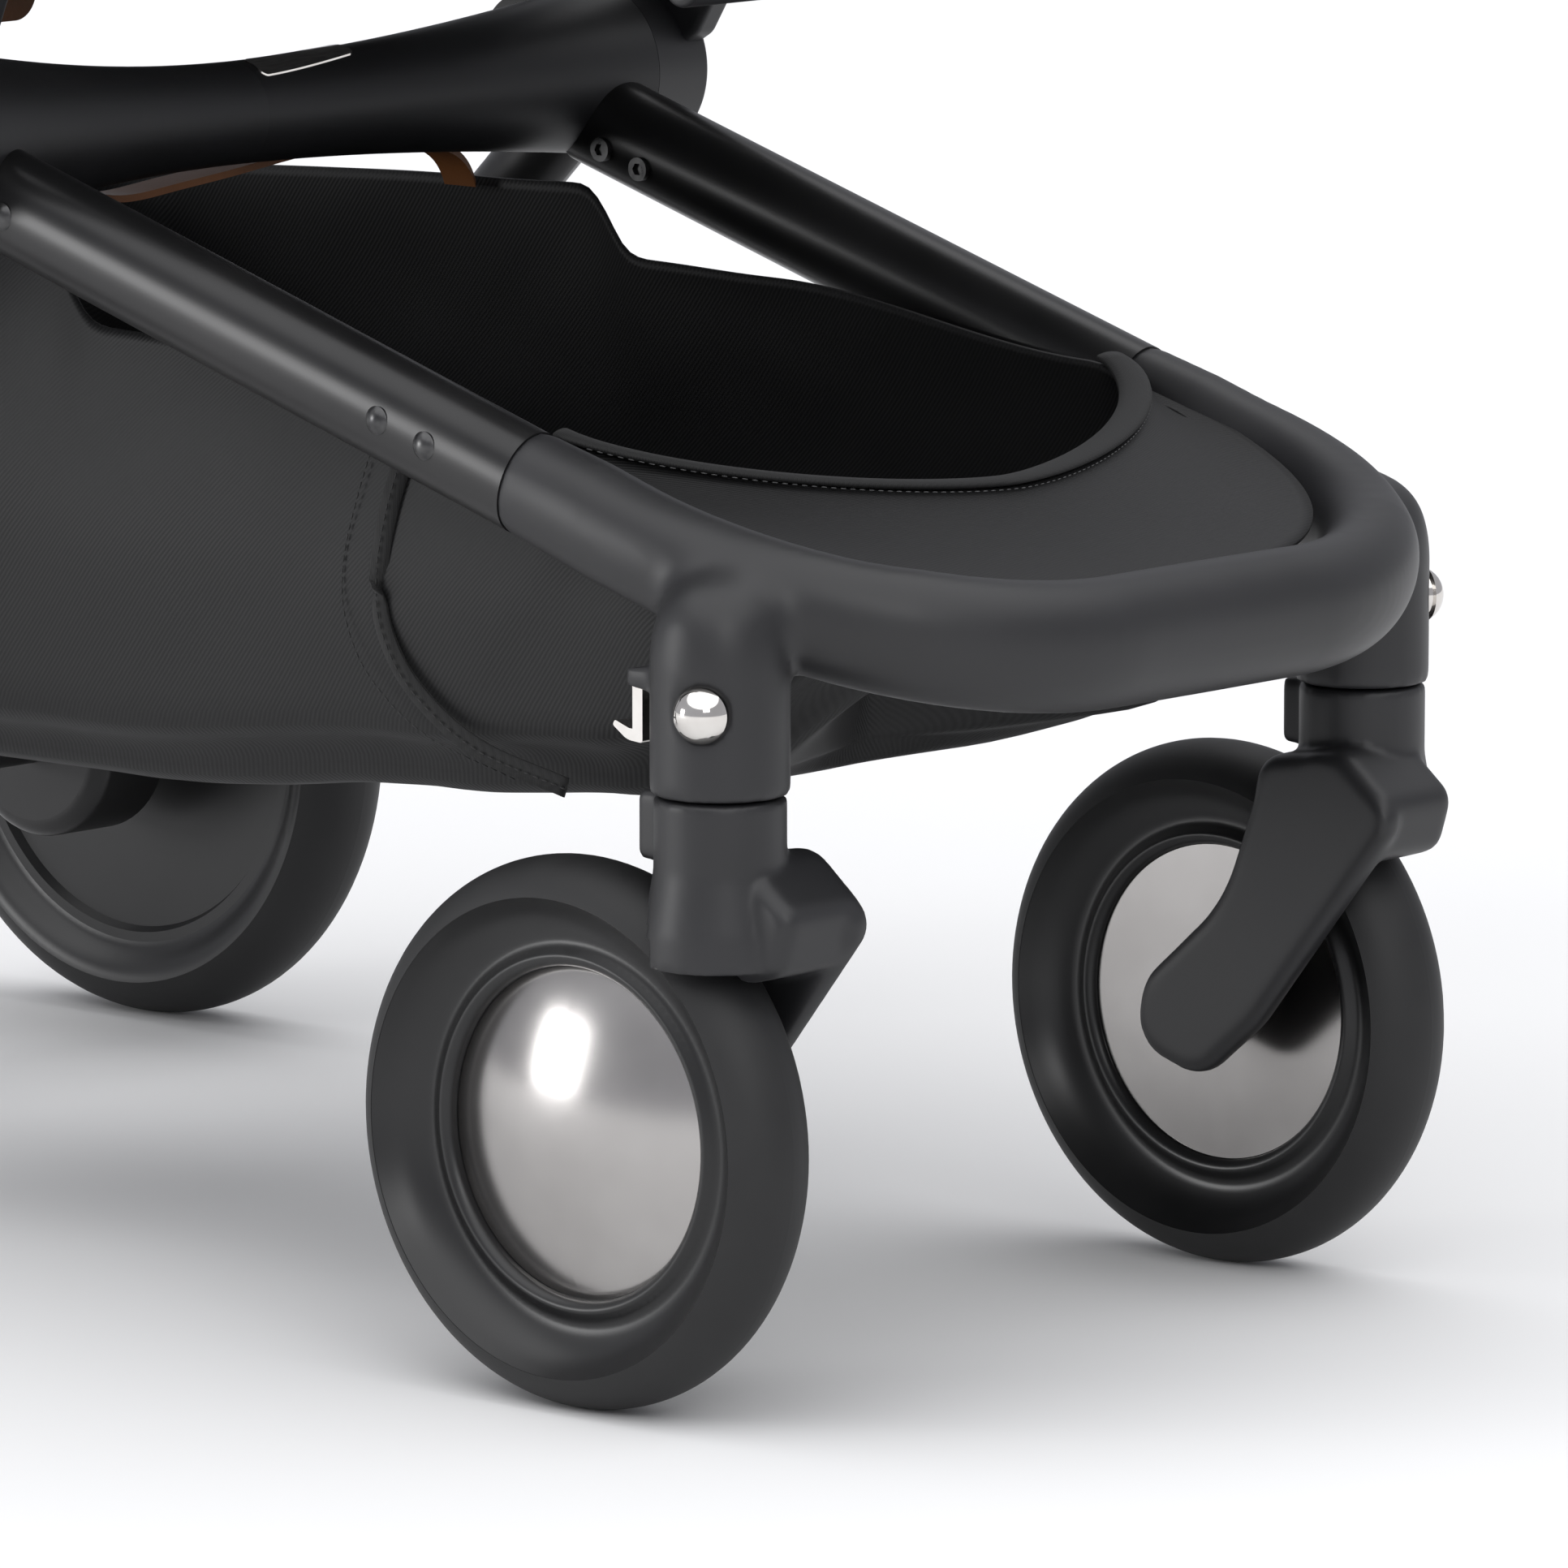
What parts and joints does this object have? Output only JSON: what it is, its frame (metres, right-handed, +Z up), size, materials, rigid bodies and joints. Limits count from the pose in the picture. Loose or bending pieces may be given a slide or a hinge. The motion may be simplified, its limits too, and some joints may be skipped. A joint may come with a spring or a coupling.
{
  "type": "baby stroller",
  "caption": "Four-wheel baby stroller: bow-fronted chassis with swivel casters, fabric basket, reclining seat with canopy, folding rear legs and telescoping handle.",
  "frame": {"origin": "middle of the stroller's footprint, on the floor", "axes": "+Z up, front of the stroller towards -Y, +X to the child's left"},
  "size_m": [0.5932, 1.0229, 1.0997],
  "materials": {
    "frame_black": "satin",
    "tube_black": "satin anodised black",
    "bright_metal": "polished",
    "steel": "blackened",
    "tyre_rubber": "matte",
    "wheel_plastic": "satin",
    "tan_leather": "grained",
    "seat_fabric": "woven",
    "basket_fabric": "coated twill"
  },
  "bodies": {
    "front_frame": {"front_bow": "frame_black", "leg_tube_right": "tube_black", "leg_tube_left": "tube_black", "cross_member_right": "frame_black", "cross_member_left": "frame_black", "trim_plate": "bright_metal", "hub_cover_right": "frame_black", "hub_cover_left": "frame_black", "seat_post_right": "frame_black", "seat_post_left": "frame_black", "tube_rivets": "steel", "hub_screws": "steel", "pivot_pins": "steel", "seat_side_right": "frame_black", "seat_side_left": "frame_black", "seat_base": "seat_fabric", "basket": "basket_fabric", "pull_strap": "tan_leather", "pull_tab": "tan_leather"},
    "rear_frame": {"rear_leg_right": "tube_black", "rear_leg_left": "tube_black", "rear_axle_tube": "tube_black", "rear_axle_pin_right": "steel", "rear_axle_pin_left": "steel"},
    "handle": {"handle_sleeve_right": "tube_black", "handle_sleeve_left": "tube_black"},
    "handle_upper": {"handle_bar": "tube_black", "handle_grip": "tan_leather"},
    "handle_button": {"handle_button": "wheel_plastic"},
    "brake_pedal": {"brake_pedal": "frame_black"},
    "backrest": {"backrest_frame": "tube_black", "backrest_pad": "seat_fabric", "canopy_rear": "seat_fabric", "shoulder_belts": "seat_fabric", "buckle": "wheel_plastic"},
    "buckle_release": {"buckle_button": "wheel_plastic"},
    "canopy": {"canopy_front": "seat_fabric"},
    "bumper": {"bumper_bar": "tan_leather"},
    "leg_rest": {"footrest": "seat_fabric"},
    "caster_right": {"caster_fork_right": "frame_black", "front_axle_right": "steel"},
    "front_wheel_right": {"front_tyre_right": "tyre_rubber", "front_rim_right": "wheel_plastic", "front_domes_right": "bright_metal"},
    "rear_wheel_right": {"rear_tyre_right": "tyre_rubber", "rear_rim_right": "wheel_plastic", "rear_cap_right": "wheel_plastic"},
    "caster_release_right": {"caster_button_right": "bright_metal"},
    "lock_lever_right": {"swivel_lock_right": "bright_metal"},
    "caster_left": {"caster_fork_left": "frame_black", "front_axle_left": "steel"},
    "front_wheel_left": {"front_tyre_left": "tyre_rubber", "front_rim_left": "wheel_plastic", "front_domes_left": "bright_metal"},
    "rear_wheel_left": {"rear_tyre_left": "tyre_rubber", "rear_rim_left": "wheel_plastic", "rear_cap_left": "wheel_plastic"},
    "caster_release_left": {"caster_button_left": "bright_metal"},
    "lock_lever_left": {"swivel_lock_left": "bright_metal"}
  },
  "joints": [
    {"name": "rear_fold", "type": "hinge", "parent": "front_frame", "child": "rear_frame", "pos_m": [0, -0.018, 0.415], "axis": [-1, 0, 0], "range_deg": [0, 75]},
    {"name": "handle_fold", "type": "hinge", "parent": "front_frame", "child": "handle", "pos_m": [0, -0.018, 0.415], "axis": [1, 0, 0], "range_deg": [0, 135]},
    {"name": "handle_telescope", "type": "slide", "parent": "handle", "child": "handle_upper", "axis": [0, -0.6299, -0.7767], "range_m": [0, 0.08]},
    {"name": "handle_button_press", "type": "slide", "parent": "handle_upper", "child": "handle_button", "axis": [0, 0.7767, -0.6299], "range_m": [0, 0.003], "stiffness_N_per_m": 500},
    {"name": "brake_pedal_press", "type": "hinge", "parent": "rear_frame", "child": "brake_pedal", "pos_m": [0, 0.285, 0.12], "axis": [-1, 0, 0], "range_deg": [0, 18]},
    {"name": "recline", "type": "hinge", "parent": "front_frame", "child": "backrest", "pos_m": [0, 0.077, 0.52], "axis": [-1, 0, 0], "range_deg": [0, 35]},
    {"name": "canopy_fold", "type": "hinge", "parent": "backrest", "child": "canopy", "pos_m": [0, 0.20355, 0.86769], "axis": [-1, 0, 0], "range_deg": [0, 60]},
    {"name": "bumper_lift", "type": "hinge", "parent": "front_frame", "child": "bumper", "pos_m": [0, -0.063, 0.7], "axis": [-1, 0, 0], "range_deg": [0, 75]},
    {"name": "footrest_lift", "type": "hinge", "parent": "front_frame", "child": "leg_rest", "pos_m": [0, -0.294, 0.59], "axis": [-1, 0, 0], "range_deg": [0, 48]},
    {"name": "buckle_press", "type": "slide", "parent": "backrest", "child": "buckle_release", "axis": [0, 0.9397, -0.342], "range_m": [0, 0.0018], "stiffness_N_per_m": 300},
    {"name": "caster_swivel_right", "type": "hinge", "parent": "front_frame", "child": "caster_right", "pos_m": [0.17, -0.425, 0.2175], "axis": [0, 0, 1], "continuous": true},
    {"name": "front_wheel_spin_right", "type": "hinge", "parent": "caster_right", "child": "front_wheel_right", "pos_m": [0.17, -0.363, 0.095], "axis": [1, 0, 0], "continuous": true},
    {"name": "rear_wheel_spin_right", "type": "hinge", "parent": "rear_frame", "child": "rear_wheel_right", "pos_m": [0.275, 0.285, 0.12], "axis": [1, 0, 0], "continuous": true},
    {"name": "caster_button_press_right", "type": "slide", "parent": "front_frame", "child": "caster_release_right", "axis": [-0.8988, 0.4384, 0], "range_m": [0, 0.0025], "stiffness_N_per_m": 600},
    {"name": "swivel_lock_flip_right", "type": "hinge", "parent": "front_frame", "child": "lock_lever_right", "pos_m": [0.17, -0.3948, 0.2546], "axis": [1, 0, 0], "range_deg": [0, 18]},
    {"name": "caster_swivel_left", "type": "hinge", "parent": "front_frame", "child": "caster_left", "pos_m": [-0.17, -0.425, 0.2175], "axis": [0, 0, 1], "continuous": true},
    {"name": "front_wheel_spin_left", "type": "hinge", "parent": "caster_left", "child": "front_wheel_left", "pos_m": [-0.17, -0.363, 0.095], "axis": [1, 0, 0], "continuous": true},
    {"name": "rear_wheel_spin_left", "type": "hinge", "parent": "rear_frame", "child": "rear_wheel_left", "pos_m": [-0.275, 0.285, 0.12], "axis": [1, 0, 0], "continuous": true},
    {"name": "caster_button_press_left", "type": "slide", "parent": "front_frame", "child": "caster_release_left", "axis": [0.8988, 0.4384, 0], "range_m": [0, 0.0025], "stiffness_N_per_m": 600},
    {"name": "swivel_lock_flip_left", "type": "hinge", "parent": "front_frame", "child": "lock_lever_left", "pos_m": [-0.17, -0.3948, 0.2546], "axis": [1, 0, 0], "range_deg": [0, 18]}
  ],
  "couplings": [
    {"joint": "handle_fold", "follows": "rear_fold", "ratio": 1.8}
  ]
}
